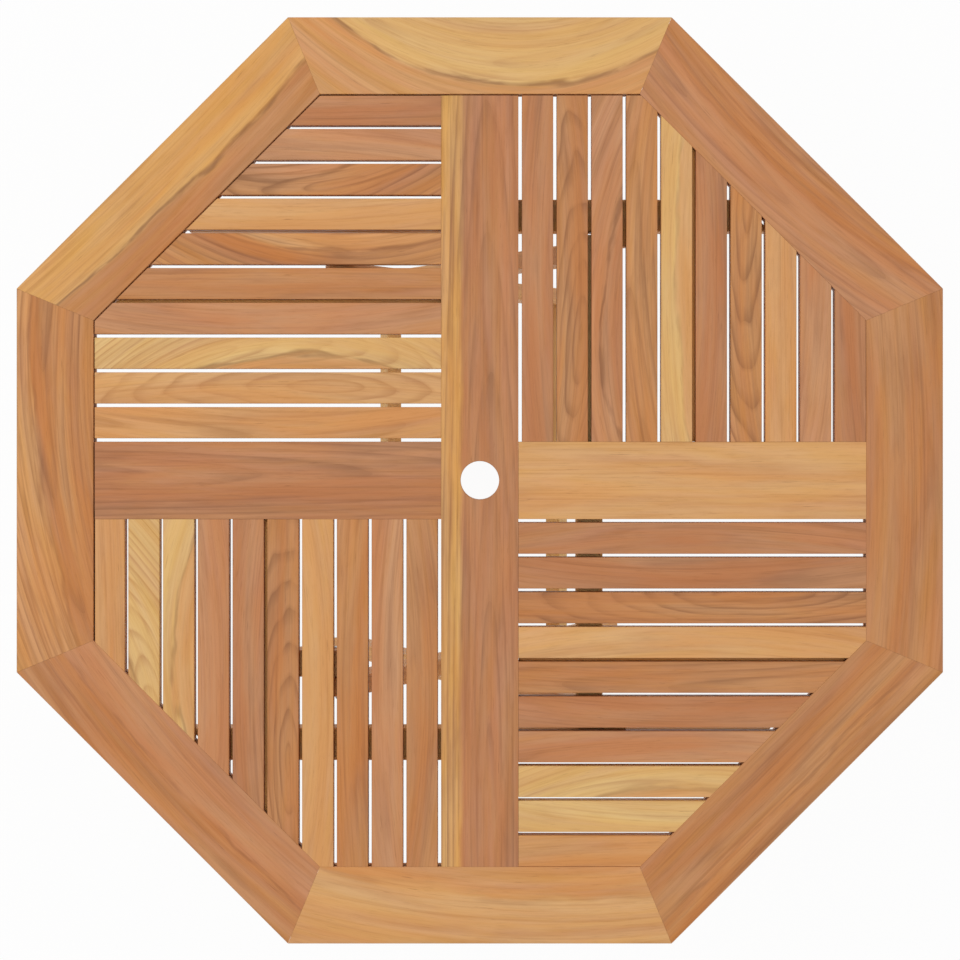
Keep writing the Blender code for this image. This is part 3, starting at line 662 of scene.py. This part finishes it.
# In each field the slats are listed from the board outwards.
SLATS = {
    Field.BACK_LEFT: [
        Look(Tone.ORANGE_TAN, Figure.FLAME), Look(Tone.PALE_TAN, Figure.WILD),
        Look(Tone.HONEY, Figure.WILD, Band(Tone.ORANGE_TAN, 0.002, -1, 0.60), -1.4, 0.04),
        Look(Tone.REDDISH), Look(Tone.BROWN),
        Look(Tone.AMBER, Figure.FLAME, Band(Tone.ORANGE_TAN, -0.004, 1, 0.45), 1.2, 0.10),
        Look(Tone.PALE_TAN),
        Look(Tone.BROWN, Figure.WILD, Band(Tone.REDDISH, 0.003, 1, 0.50), 1.3, 0.02),
        Look(Tone.REDDISH), Look(Tone.RED_BROWN)],
    Field.BACK_RIGHT: [
        Look(Tone.RED_BROWN), Look(Tone.BROWN, Figure.WILD),
        Look(Tone.RED_BROWN, Figure.STRAIGHT, Band(Tone.REDDISH, -0.004, -1, 0.60), 0.8, 0.08),
        Look(Tone.AMBER, Figure.FLAME),
        Look(Tone.HONEY, Figure.STRAIGHT, Band(Tone.PALE_TAN, 0.000, 1, 0.25), 0.3),
        Look(Tone.RED_BROWN), Look(Tone.AMBER, Figure.WILD), Look(Tone.ORANGE_TAN),
        Look(Tone.REDDISH), Look(Tone.RED_BROWN)],
    Field.FRONT_LEFT: [
        Look(Tone.BROWN), Look(Tone.REDDISH), Look(Tone.AMBER), Look(Tone.PALE_TAN),
        Look(Tone.BROWN, Figure.WILD), Look(Tone.RED_BROWN), Look(Tone.REDDISH),
        Look(Tone.HONEY, Figure.STRAIGHT, Band(Tone.PALE_TAN, 0.006, -1, 0.40), -1.0, 0.05),
        Look(Tone.HONEY, Figure.WILD, Band(Tone.AMBER, 0.004, 1, 0.65), 1.6, -0.06),
        Look(Tone.ORANGE_TAN)],
    Field.FRONT_RIGHT: [
        Look(Tone.RED_BROWN), Look(Tone.RED_BROWN), Look(Tone.BROWN, Figure.WILD), Look(Tone.PALE_TAN),
        Look(Tone.BROWN, Figure.FLAME), Look(Tone.RED_BROWN), Look(Tone.REDDISH),
        Look(Tone.HONEY, Figure.FLAME, Band(Tone.PALE_TAN, 0.008, 1, 0.35), 0.9),
        Look(Tone.HONEY), Look(Tone.ORANGE_TAN)],
}

# The rails are listed anticlockwise from the right-hand one.
RAILS = {
    "right": Look(Tone.BROWN, bow=0.2),
    "top_right": Look(Tone.REDDISH, Figure.FLAME, Band(Tone.BROWN, -0.010, -1, 0.20), -0.4, 0.05),
    "top": Look(Tone.HONEY, Figure.FLAME, Band(Tone.ORANGE_TAN, 0.036, 1, 0.65), -1.5, -0.05),
    "top_left": Look(Tone.GOLDEN, Figure.STRAIGHT, Band(Tone.BROWN, 0.016, 1, 0.70), -0.15),
    "left": Look(Tone.AMBER, Figure.FLAME, Band(Tone.ORANGE_TAN, -0.030, -1, 0.30), 0.5, -0.15),
    "bottom_left": Look(Tone.REDDISH, Figure.STRAIGHT, Band(Tone.BROWN, -0.014, -1, 0.30), 0.3, 0.08),
    "bottom": Look(Tone.PALE_TAN, Figure.STRAIGHT, Band(Tone.ORANGE_TAN, 0.010, 1, 0.15), 0.4, 0.10),
    "bottom_right": Look(Tone.BROWN, Figure.STRAIGHT, Band(Tone.AMBER, -0.020, -1, 0.30)),
}

CENTRE_BOARD = Look(Tone.RED_BROWN, Figure.FLAME, Band(Tone.GOLDEN, 0.022, 1, 0.10, 0.007))
HALF_BOARDS = {"left": Look(Tone.RED_BROWN, Figure.FLAME), "right": Look(Tone.PALE_TAN)}
# The closing strips and the underframe take pale tones. This is painted light: it stands in for the fill
# light that reaches under the top.
CLOSING_STRIP = Look(Tone.GOLDEN)

UNDERFRAME_LIT_TONES = {
    "leg": Tone.PALE_TAN, "stretcher": Tone.HONEY, "crossbar": Tone.HONEY, "batten": Tone.GOLDEN,
    "hinge_block": Tone.PALE_TAN,
}


@dataclass
class Tabletop:
    """The octagon of mitred rails, three boards and four fields of slats."""

    apothem: float
    surface: float
    rail_width: float = 0.100
    rail_thickness: float = 0.025
    board_width: float = 0.100
    slat_thickness: float = 0.020
    slats_per_field: int = 10
    slat_gap: float = 0.0045
    hole_diameter: float = 0.050
    hole_sides: int = 72
    rail_rounding: float = 0.0040
    slat_rounding: float = 0.0014
    arris: float = 0.0004
    tongue_thickness: float = 0.008
    tongue_length: float = 0.0085
    groove_depth: float = 0.010
    spline_length: float = 0.012
    spline_shoulder: float = 0.008
    tight_gap: float = 0.00015
    fit: float = 0.0003
    shadow_gap: float = 0.0020
    closed_gap: int = 4
    strip_height: float = 0.006
    strip_rise: float = 0.003
    # The most that a plain slat's grain bows.
    slat_bow: float = 0.4

    # A tongue's root is over 20 mm² and faces within 49 degrees of the way that the tongue points.
    SMALLEST_ROOT = 2e-5
    FACING = 0.65

    @property
    def inner(self) -> float:
        """Return the distance from the middle to a rail's inner edge."""
        return self.apothem - self.rail_width

    @property
    def pitch(self) -> float:
        """Return the distance from one slat to the next."""
        return (self.inner - self.board_width / 2) / self.slats_per_field

    @property
    def tongue_height(self) -> float:
        """Return the height of the tongues' middle."""
        return self.surface - self.slat_thickness / 2

    def _trim_to_rails(self) -> None:
        """Saw the active piece off where it meets each of the eight rails."""
        for side in range(len(RAILS)):
            normal = heading(side * EIGHTH_TURN)
            gap = self.shadow_gap if side in SHADOW_SIDES else self.tight_gap
            cut_away(normal * (self.inner - gap), normal)

    def _score_tongue(self) -> None:
        """Divide the active piece's sides at the tongue's two faces."""
        for side in (-1, 1):
            score(Vector((0, 0, self.tongue_height + side * self.tongue_thickness / 2)), UP)

    def _in_tongue(self, polygon: MeshPolygon, outward: Vector) -> bool:
        """Say whether a face is a tongue's root that looks a given way."""
        level = abs(polygon.center.z - self.tongue_height) < self.tongue_thickness / 2
        return level and polygon.normal.dot(outward) > self.FACING and polygon.area > self.SMALLEST_ROOT

    def _draw_tongues(self, piece: Object, inward: Vector, beyond: float = 0.0) -> None:
        """Draw a tongue out of both ends of a piece.

        Args:
            piece: the active piece.
            inward: the way along it, towards the table's middle.
            beyond: how far from the table's middle its ends lie at least, so that a hole's wall isn't
                taken for one.
        """
        self._score_tongue()
        for outward in (inward, -inward):
            push_faces(piece, lambda face, way=outward: self._in_tongue(face, way)
                       and abs(face.center.dot(way)) > beyond, outward * self.tongue_length, self.fit)

    def _plough(self, piece: Object, first: tuple[float, float], last: tuple[float, float]) -> None:
        """Plough the groove for the tongues right along one side of a piece.

        Args:
            piece: the active piece.
            first: the groove's corner nearest the front left, seen from above.
            last: its opposite corner.
        """
        half = self.tongue_thickness / 2 + self.fit
        subtract(piece, start_block("groove", Vector((*first, self.tongue_height - half)),
                                    Vector((*last, self.tongue_height + half))))

    def _dress(self, piece: Object, look: Look, seed: int, centre: Vector, grain: Vector, slot: str,
               node: str = "") -> None:
        """Give a piece its own teak, hang it on the top's body and hide the CAD node that it stands for.

        Args:
            piece: the finished mesh.
            look: how its wood grew and was sawn.
            seed: what sets its grain apart from the others'.
            centre: the middle of its upper face.
            grain: the way that its grain runs.
            slot: a material slot's name, which is not used.
            node: the CAD node that it stands for, if the frame has it.
        """
        activate(piece)
        bpy.ops.object.shade_smooth_by_angle(angle=SMOOTH_ANGLE)
        finish = OiledTeak("oiled_" + piece.name, look, seed, centre, grain)
        piece.data.materials.clear()
        piece.data.materials.append(finish.material())
        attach(piece, TOP_BODY)
        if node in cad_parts:
            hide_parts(node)
        LOG.info("%s rides on %s", piece.name, TOP_BODY)

    def build_rail(self, number: int, side: str) -> None:
        """Model one rail: a bar mitred at both ends, rounded outside and grooved inside.

        Args:
            number: eighths of a turn anticlockwise from the right-hand rail.
            side: the rail's name in the frame.
        """
        low = Vector((self.inner, -self.apothem, self.surface - self.rail_thickness))
        piece = start_block("teak_rail_" + side, low, Vector((self.apothem, self.apothem, self.surface)))
        for sign in (-1, 1):
            normal = heading(sign * MITRE_HEADING)
            cut_away(-normal * self.tight_gap / 2, normal)
        self._round_rail(piece, self.slat_rounding if number in SHADOW_SIDES else self.arris)
        self._plough(piece, (self.inner - self.groove_depth, -self.apothem),
                     (self.inner + self.groove_depth, self.apothem))
        self._score_tongue()
        self._join_mitres(piece)
        turn = number * EIGHTH_TURN
        turn_about_middle(piece, turn)
        outward = heading(turn)
        centre = outward * (self.apothem - self.rail_width / 2) + Vector((0, 0, self.surface))
        self._dress(piece, RAILS[side], 11 + number * 3, centre, Vector((-outward.y, outward.x, 0)),
                    "teak_rails", "rail_" + side)

    def _join_mitres(self, piece: Object) -> None:
        """Raise a spline on one mitre of a rail and sink the mortise for the next one's in the other.

        Args:
            piece: the active rail, before it is turned to its side.
        """
        first = self.inner + self.groove_depth + self.fit
        last = self.apothem - self.spline_shoulder
        for distance in (first, last):
            score(Vector((distance, 0, 0)), Vector((1, 0, 0)))
        for sign, reach, shoulder in ((1, self.spline_length, self.fit),
                                      (-1, -self.spline_length - self.fit, 0.0)):
            normal = heading(sign * MITRE_HEADING)
            push_faces(piece, lambda face, way=normal: self._in_tongue(face, way)
                       and first < face.center.x < last, normal * reach, shoulder)

    def _round_rail(self, piece: Object, inner_radius: float) -> None:
        """Round the long edges of a rail, the outer ones most, and leave the mitres sharp.

        Args:
            piece: the active rail, before it is turned to its side.
            inner_radius: the radius towards the panel.
        """
        for distance, radius in ((self.apothem, self.rail_rounding), (self.inner, inner_radius)):
            round_picked_edges(piece, lambda first, second, x=distance: abs(first.x - x) < TOUCH
                               and abs(second.x - x) < TOUCH and abs(first.z - second.z) < TOUCH,
                               radius, 5)

    def slat_span(self, number: int) -> tuple[float, float]:
        """Return where a slat, counted from 1 outwards, begins and ends across its field."""
        outer = self.board_width / 2 + number * self.pitch
        return outer - self.pitch + self.slat_gap, outer

    def build_slat(self, slats: Field, number: int) -> None:
        """Model one slat: a bar cut to the rails it meets, eased and tongued at both ends.

        Args:
            slats: the field that it lies in.
            number: its place, counted from 1 at the board outwards.
        """
        near, far = self.slat_span(number)
        board = self.board_width / 2
        name = f"slat_{slats.name.lower()}_{number:02d}"
        low = Vector((-self.apothem, near, self.surface - self.slat_thickness))
        piece = start_block("teak_" + name, low, Vector((-board - self.tight_gap, far, self.surface)))
        angle = slats.value * QUARTER_TURN
        inward = heading(angle)
        turn_about_middle(piece, angle)
        self._trim_to_rails()
        round_picked_edges(piece, along(inward), self.slat_rounding)
        self._draw_tongues(piece, inward)
        middle = Vector((-(self.inner + board) / 2, (near + far) / 2, self.surface))
        middle.rotate(Matrix.Rotation(angle, 3, "Z"))
        seed = slats.value * 10 + number
        look = SLATS[slats][number - 1]
        if look.band is None:
            look = replace(look, bow=self.slat_bow * math.sin(seed * 1.9))
        self._dress(piece, look, seed, middle, inward, "teak_slats", name)

    def build_centre_board(self) -> None:
        """Model the board through the middle: both sides grooved, both ends tongued, one round hole."""
        half = self.board_width / 2
        low = Vector((-half, -self.apothem, self.surface - self.slat_thickness))
        piece = start_block("teak_centre_board", low, Vector((half, self.apothem, self.surface)))
        grain = Vector((0, 1, 0))
        self._trim_to_rails()
        round_picked_edges(piece, along(grain), self.arris)
        for side in (-half, half):
            self._plough(piece, (side - self.groove_depth, -self.apothem),
                         (side + self.groove_depth, self.apothem))
        self._bore_hole(piece)
        self._draw_tongues(piece, grain, beyond=self.hole_diameter)
        self._dress(piece, CENTRE_BOARD, 5, Vector((0, 0, self.surface)), grain, "teak_boards",
                    "centre_board")

    def _bore_hole(self, piece: Object) -> None:
        """Bore the parasol hole through a board and round its rims."""
        deselect_all()
        bpy.ops.mesh.primitive_cylinder_add(vertices=self.hole_sides, radius=self.hole_diameter / 2,
                                            depth=self.slat_thickness * 3,
                                            location=(0, 0, self.surface))
        subtract(piece, bpy.context.object)
        round_picked_edges(piece, lambda first, second: abs(first.z - second.z) < TOUCH
                           and self._on_rim(first) and self._on_rim(second), self.slat_rounding)

    def _on_rim(self, point: Vector) -> bool:
        """Say whether a point lies on the parasol hole's wall."""
        return abs(point.xy.length - self.hole_diameter / 2) < 10 * TOUCH

    def build_half_board(self, side: str, quarter_turns: int) -> None:
        """Model a board from the centre board to a side rail, grooved where slats end on it.

        Args:
            side: left or right.
            quarter_turns: how far it is turned from the left-hand one.
        """
        half = self.board_width / 2
        low = Vector((-self.apothem, -half, self.surface - self.slat_thickness))
        high = Vector((-half - self.tight_gap, half, self.surface))
        piece = start_block("teak_half_board_" + side, low, high)
        turn_about_middle(piece, quarter_turns * QUARTER_TURN)
        self._trim_to_rails()
        round_picked_edges(piece, along(Vector((1, 0, 0))), self.arris)
        inward = Vector((1 if quarter_turns == 0 else -1, 0, 0))
        grooved = -inward.x * half
        self._plough(piece, (-self.apothem, grooved - self.groove_depth),
                     (self.apothem, grooved + self.groove_depth))
        self._draw_tongues(piece, inward)
        centre = Vector((-inward.x * (self.inner + half) / 2, 0, self.surface))
        self._dress(piece, HALF_BOARDS[side], 7 + quarter_turns * 4, centre, Vector((1, 0, 0)),
                    "teak_boards", "half_board_" + side)

    def build_closing_strip(self, slats: Field) -> None:
        """Model the strip that closes one gap of a field from below.

        Args:
            slats: the field that it lies in.
        """
        far = self.slat_span(self.closed_gap + slats.value % 2)[1]
        bottom = self.surface - self.slat_thickness + self.strip_rise
        low = Vector((-self.apothem, far + self.fit / 3, bottom))
        high = Vector((-self.board_width / 2 - self.fit, far + self.slat_gap - self.fit,
                       bottom + self.strip_height))
        piece = start_block("teak_closing_strip_" + slats.name.lower(), low, high)
        angle = slats.value * QUARTER_TURN
        turn_about_middle(piece, angle)
        self._trim_to_rails()
        round_edges(piece, self.fit, 2)
        middle = Vector((-self.inner / 2, far, self.surface))
        middle.rotate(Matrix.Rotation(angle, 3, "Z"))
        self._dress(piece, CLOSING_STRIP, 90 + slats.value, middle, heading(angle), "teak_slats")

    def build(self) -> None:
        """Build every piece of the top."""
        for number, side in enumerate(RAILS):
            self.build_rail(number, side)
        self.build_centre_board()
        self.build_half_board("left", 0)
        self.build_half_board("right", 2)
        for slats in Field:
            for number in range(1, self.slats_per_field + 1):
                self.build_slat(slats, number)
            self.build_closing_strip(slats)


@dataclass
class Underframe:
    """The legs, bars, battens and blocks, which keep their CAD shapes, with their finishes."""

    lean: float = math.radians(62)

    def _dress(self, node: str, finish: OiledTeak | ZincPlatedSteel) -> None:
        """Give a CAD node its finish.

        Args:
            node: the node's name in the frame.
            finish: the finish.
        """
        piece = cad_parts[node]
        material = finish.material()
        if not piece.material_slots:
            piece.data.materials.append(material)
        for slot in piece.material_slots:
            slot.material = material
        LOG.info("%s is dressed as %s", node, finish.name)

    def build(self) -> None:
        """Dress every node below the top."""
        leaning = {"outer": Vector((math.cos(self.lean), 0, math.sin(self.lean))),
                   "inner": Vector((-math.cos(self.lean), 0, math.sin(self.lean)))}
        across, lengthwise = Vector((0, 1, 0)), Vector((1, 0, 0))
        for number, node in enumerate(sorted(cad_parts)):
            low, high = (Vector(corner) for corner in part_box(node))
            if node.endswith(("leg_front", "leg_back")):
                grain, upright = leaning[node.split("_")[0]], across
            elif node.endswith(("stretcher", "crossbar")):
                grain, upright = across, UP
            elif node.startswith(("batten", "hinge_block")):
                grain, upright = lengthwise, UP
            else:
                continue
            # The paler tone is painted light, standing in for the fill light under the top.
            tone = next(tone for kind, tone in UNDERFRAME_LIT_TONES.items() if kind in node)
            self._dress(node, OiledTeak("oiled_teak_" + node, Look(tone), 50 + number, (low + high) / 2,
                                        grain, upright))
        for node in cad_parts:
            if "_bolt_" in node:
                self._dress(node, ZincPlatedSteel("zinc_plated_" + node))


@dataclass
class Screws:
    """The countersunk screws up through the battens and the hinge blocks, one copied for each hole."""

    top: Tabletop
    sink: float = 0.012
    hole_diameter: float = 0.009
    head_radius: float = 0.0042
    shank_radius: float = 0.0022
    head_height: float = 0.0028
    length: float = 0.030
    sides: int = 24
    slot_length: float = 0.00504
    slot_width: float = 0.0009
    slot_depth: float = 0.0014
    arris: float = 0.00015
    turn_between: float = 1.3
    hinge_x: float = -0.181
    bolt_radius: float = 0.004

    def _first(self) -> Object:
        """Return a new screw at the origin, head down, with a cross recess, to copy the others from."""
        deselect_all()
        bpy.ops.mesh.primitive_cylinder_add(vertices=self.sides, radius=self.head_radius,
                                            depth=self.head_height, location=(0, 0, self.head_height / 2))
        screw = bpy.context.object
        screw.name = "zinc_plated_screw"
        bpy.ops.object.transform_apply(location=True, rotation=True, scale=True)
        pick(screw, "FACE", lambda face: face.normal.z > 0.9)
        share = self.shank_radius / self.head_radius
        bpy.ops.transform.resize(value=(share, share, 1), center_override=(0, 0, self.head_height))
        bpy.ops.mesh.extrude_region_move(
            TRANSFORM_OT_translate={"value": (0, 0, self.length - self.head_height)})
        bpy.ops.object.mode_set(mode="OBJECT")
        for size in ((self.slot_length, self.slot_width), (self.slot_width, self.slot_length)):
            corner = Vector((*size, self.slot_depth * 2)) / 2
            subtract(screw, start_block("cross_recess", -corner, corner))
        round_edges(screw, self.arris, 1)
        activate(screw)
        bpy.ops.object.shade_smooth_by_angle(angle=SMOOTH_ANGLE)
        screw.data.materials.append(ZincPlatedSteel("zinc_plated_screws", cloud_size=0.002).material())
        return screw

    def _places(self) -> list[Vector]:
        """Return where the screws' heads lie, along the battens and beside the hinge bolts."""
        places = []
        low, high = (Vector(corner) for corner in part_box("batten_back"))
        middle, width = (low.y + high.y) / 2, high.y - low.y
        reach = high.x - width - 2 * self.hole_diameter
        inner = self.top.board_width / 2 + self.top.pitch / 2
        stations = [-reach, -(reach + inner) / 2, -inner, 0.0]
        crossings = [sum(self.top.slat_span(number)) / 2
                     for number in range(1, self.top.slats_per_field, 2)]
        stations += [crossing for crossing in crossings if crossing < reach]
        for x in stations:
            places += [Vector((side * x, side * middle, low.z + self.sink)) for side in (-1, 1)]
        low, high = (Vector(corner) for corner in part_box("hinge_block_back"))
        middle = (low.y + high.y) / 2
        for x in ((low.x + self.hinge_x - 2 * self.bolt_radius) / 2,
                  (high.x + self.hinge_x + self.bolt_radius) / 2):
            places += [Vector((x, side * middle, low.z + self.sink)) for side in (-1, 1)]
        return places

    def build(self) -> None:
        """Copy the first screw into every hole."""
        first = self._first()
        for number, place in enumerate(self._places(), start=1):
            activate(first)
            bpy.ops.object.duplicate(linked=False)
            screw = bpy.context.object
            screw.name = f"zinc_plated_screw_{number:02d}"
            screw.rotation_euler.z = number * self.turn_between
            screw.location = place
            bpy.ops.object.transform_apply(location=True, rotation=True, scale=True)
            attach(screw, TOP_BODY)
            LOG.info("%s rides on %s", screw.name, TOP_BODY)
        bpy.data.objects.remove(first, do_unlink=True)


@dataclass
class Studio:
    """The pale floor, the soft lights and the camera straight above the table."""

    photo_width: float = 1.242
    picture_centre: Vector = field(default_factory=lambda: Vector((0.0003, 0.0006)))
    camera_over: Vector = field(default_factory=lambda: Vector((0.034, 0.085)))
    camera_height: float = 2.60
    sensor_width: float = 36.0
    floor_size: float = 14.0
    floor_drop: float = 0.0002
    floor_colour: str = "#f4f4f3"
    floor_glow: float = 0.93
    world_strength: float = 0.84
    lamp_size: float = 3.0
    lamp_power: float = 20.0
    lamp_place: Vector = field(default_factory=lambda: Vector((-1.1, 1.3, 3.6)))
    lamp_aim: Vector = field(default_factory=lambda: Vector((0, 0, 0.7)))

    def _background_share(self, tree: NodeTree, share: float) -> NodeSocket:
        """Return the share for rays from the camera, off metal or through glass, and 0 for the rest."""
        path = add_node(tree, "ShaderNodeLightPath").outputs
        first = calculate(tree, "MAXIMUM", path["Is Camera Ray"], path["Is Glossy Ray"])
        both = calculate(tree, "MAXIMUM", first, path["Is Transmission Ray"])
        return calculate(tree, "MULTIPLY", both, share)

    def build_floor(self) -> None:
        """Lay the white floor, which glows for the camera, takes a soft shadow and is clear from below."""
        deselect_all()
        bpy.ops.mesh.primitive_plane_add(size=self.floor_size, location=(0, 0, -self.floor_drop))
        floor = bpy.context.object
        floor.name = "studio_floor"
        # The paper gives the eye an even, dull white without a gleam, on which a soft shadow shows.
        material, tree, shader = start_material("matt_white_paper")
        set_inputs(tree, shader, {"Base Color": linear(self.floor_colour), "Roughness": 0.9})
        glow = add_node(tree, "ShaderNodeEmission", {"Color": grey(1.0), "Strength": 1.0})
        mixed = add_node(tree, "ShaderNodeMixShader", {
            0: self._background_share(tree, self.floor_glow), 1: shader.outputs[0], 2: glow.outputs[0]})
        side = add_node(tree, "ShaderNodeNewGeometry")
        clear = add_node(tree, "ShaderNodeBsdfTransparent")
        seen = add_node(tree, "ShaderNodeMixShader", {
            0: side.outputs["Backfacing"], 1: mixed.outputs[0], 2: clear.outputs[0]})
        tree.links.new(seen.outputs[0], tree.nodes["Material Output"].inputs["Surface"])
        floor.data.materials.append(material)
        floor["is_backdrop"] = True

    def build_lights(self) -> None:
        """Light the table from all round, with one broad lamp above the back left."""
        world = bpy.data.worlds.new("soft_white_studio")
        bpy.context.scene.world = world
        world.use_nodes = True
        tree = world.node_tree
        strength = remap(tree, self._background_share(tree, 1.0), results=(self.world_strength, 1.0))
        set_inputs(tree, tree.nodes["Background"], {"Color": grey(1.0), "Strength": strength})
        lamp = bpy.data.lights.new("broad_softbox", "AREA")
        lamp.shape = "DISK"
        lamp.size = self.lamp_size
        lamp.energy = self.lamp_power
        holder = bpy.data.objects.new("broad_softbox", lamp)
        holder.location = self.lamp_place
        holder.rotation_euler = (self.lamp_aim - self.lamp_place).to_track_quat("-Z", "Y").to_euler()
        bpy.context.collection.objects.link(holder)

    def build_camera(self, surface: float) -> None:
        """Hang the camera above the top, a little off its middle, and frame it by its shift.

        Args:
            surface: the height of the table's top.
        """
        data = bpy.data.cameras.new("overhead_camera")
        data.sensor_width = self.sensor_width
        data.lens = self.sensor_width * self.camera_height / self.photo_width
        data.shift_x, data.shift_y = (self.picture_centre - self.camera_over) / self.photo_width
        camera = bpy.data.objects.new("overhead_camera", data)
        camera.location = (*self.camera_over, surface + self.camera_height)
        bpy.context.collection.objects.link(camera)
        bpy.context.scene.camera = camera

    def build(self, surface: float) -> None:
        """Build the studio.

        Args:
            surface: the height of the table's top.
        """
        self.build_floor()
        self.build_lights()
        self.build_camera(surface)
        bpy.context.scene.view_settings.view_transform = "Standard"


def main() -> None:
    """Build the table's looks in order."""
    logging.basicConfig(level=logging.INFO, format="%(message)s")
    low, high = (Vector(corner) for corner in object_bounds())
    top = Tabletop(apothem=high.x, surface=high.z)
    top.build()
    Underframe().build()
    Screws(top).build()
    Studio().build(high.z)


if __name__ == "__main__":
    main()
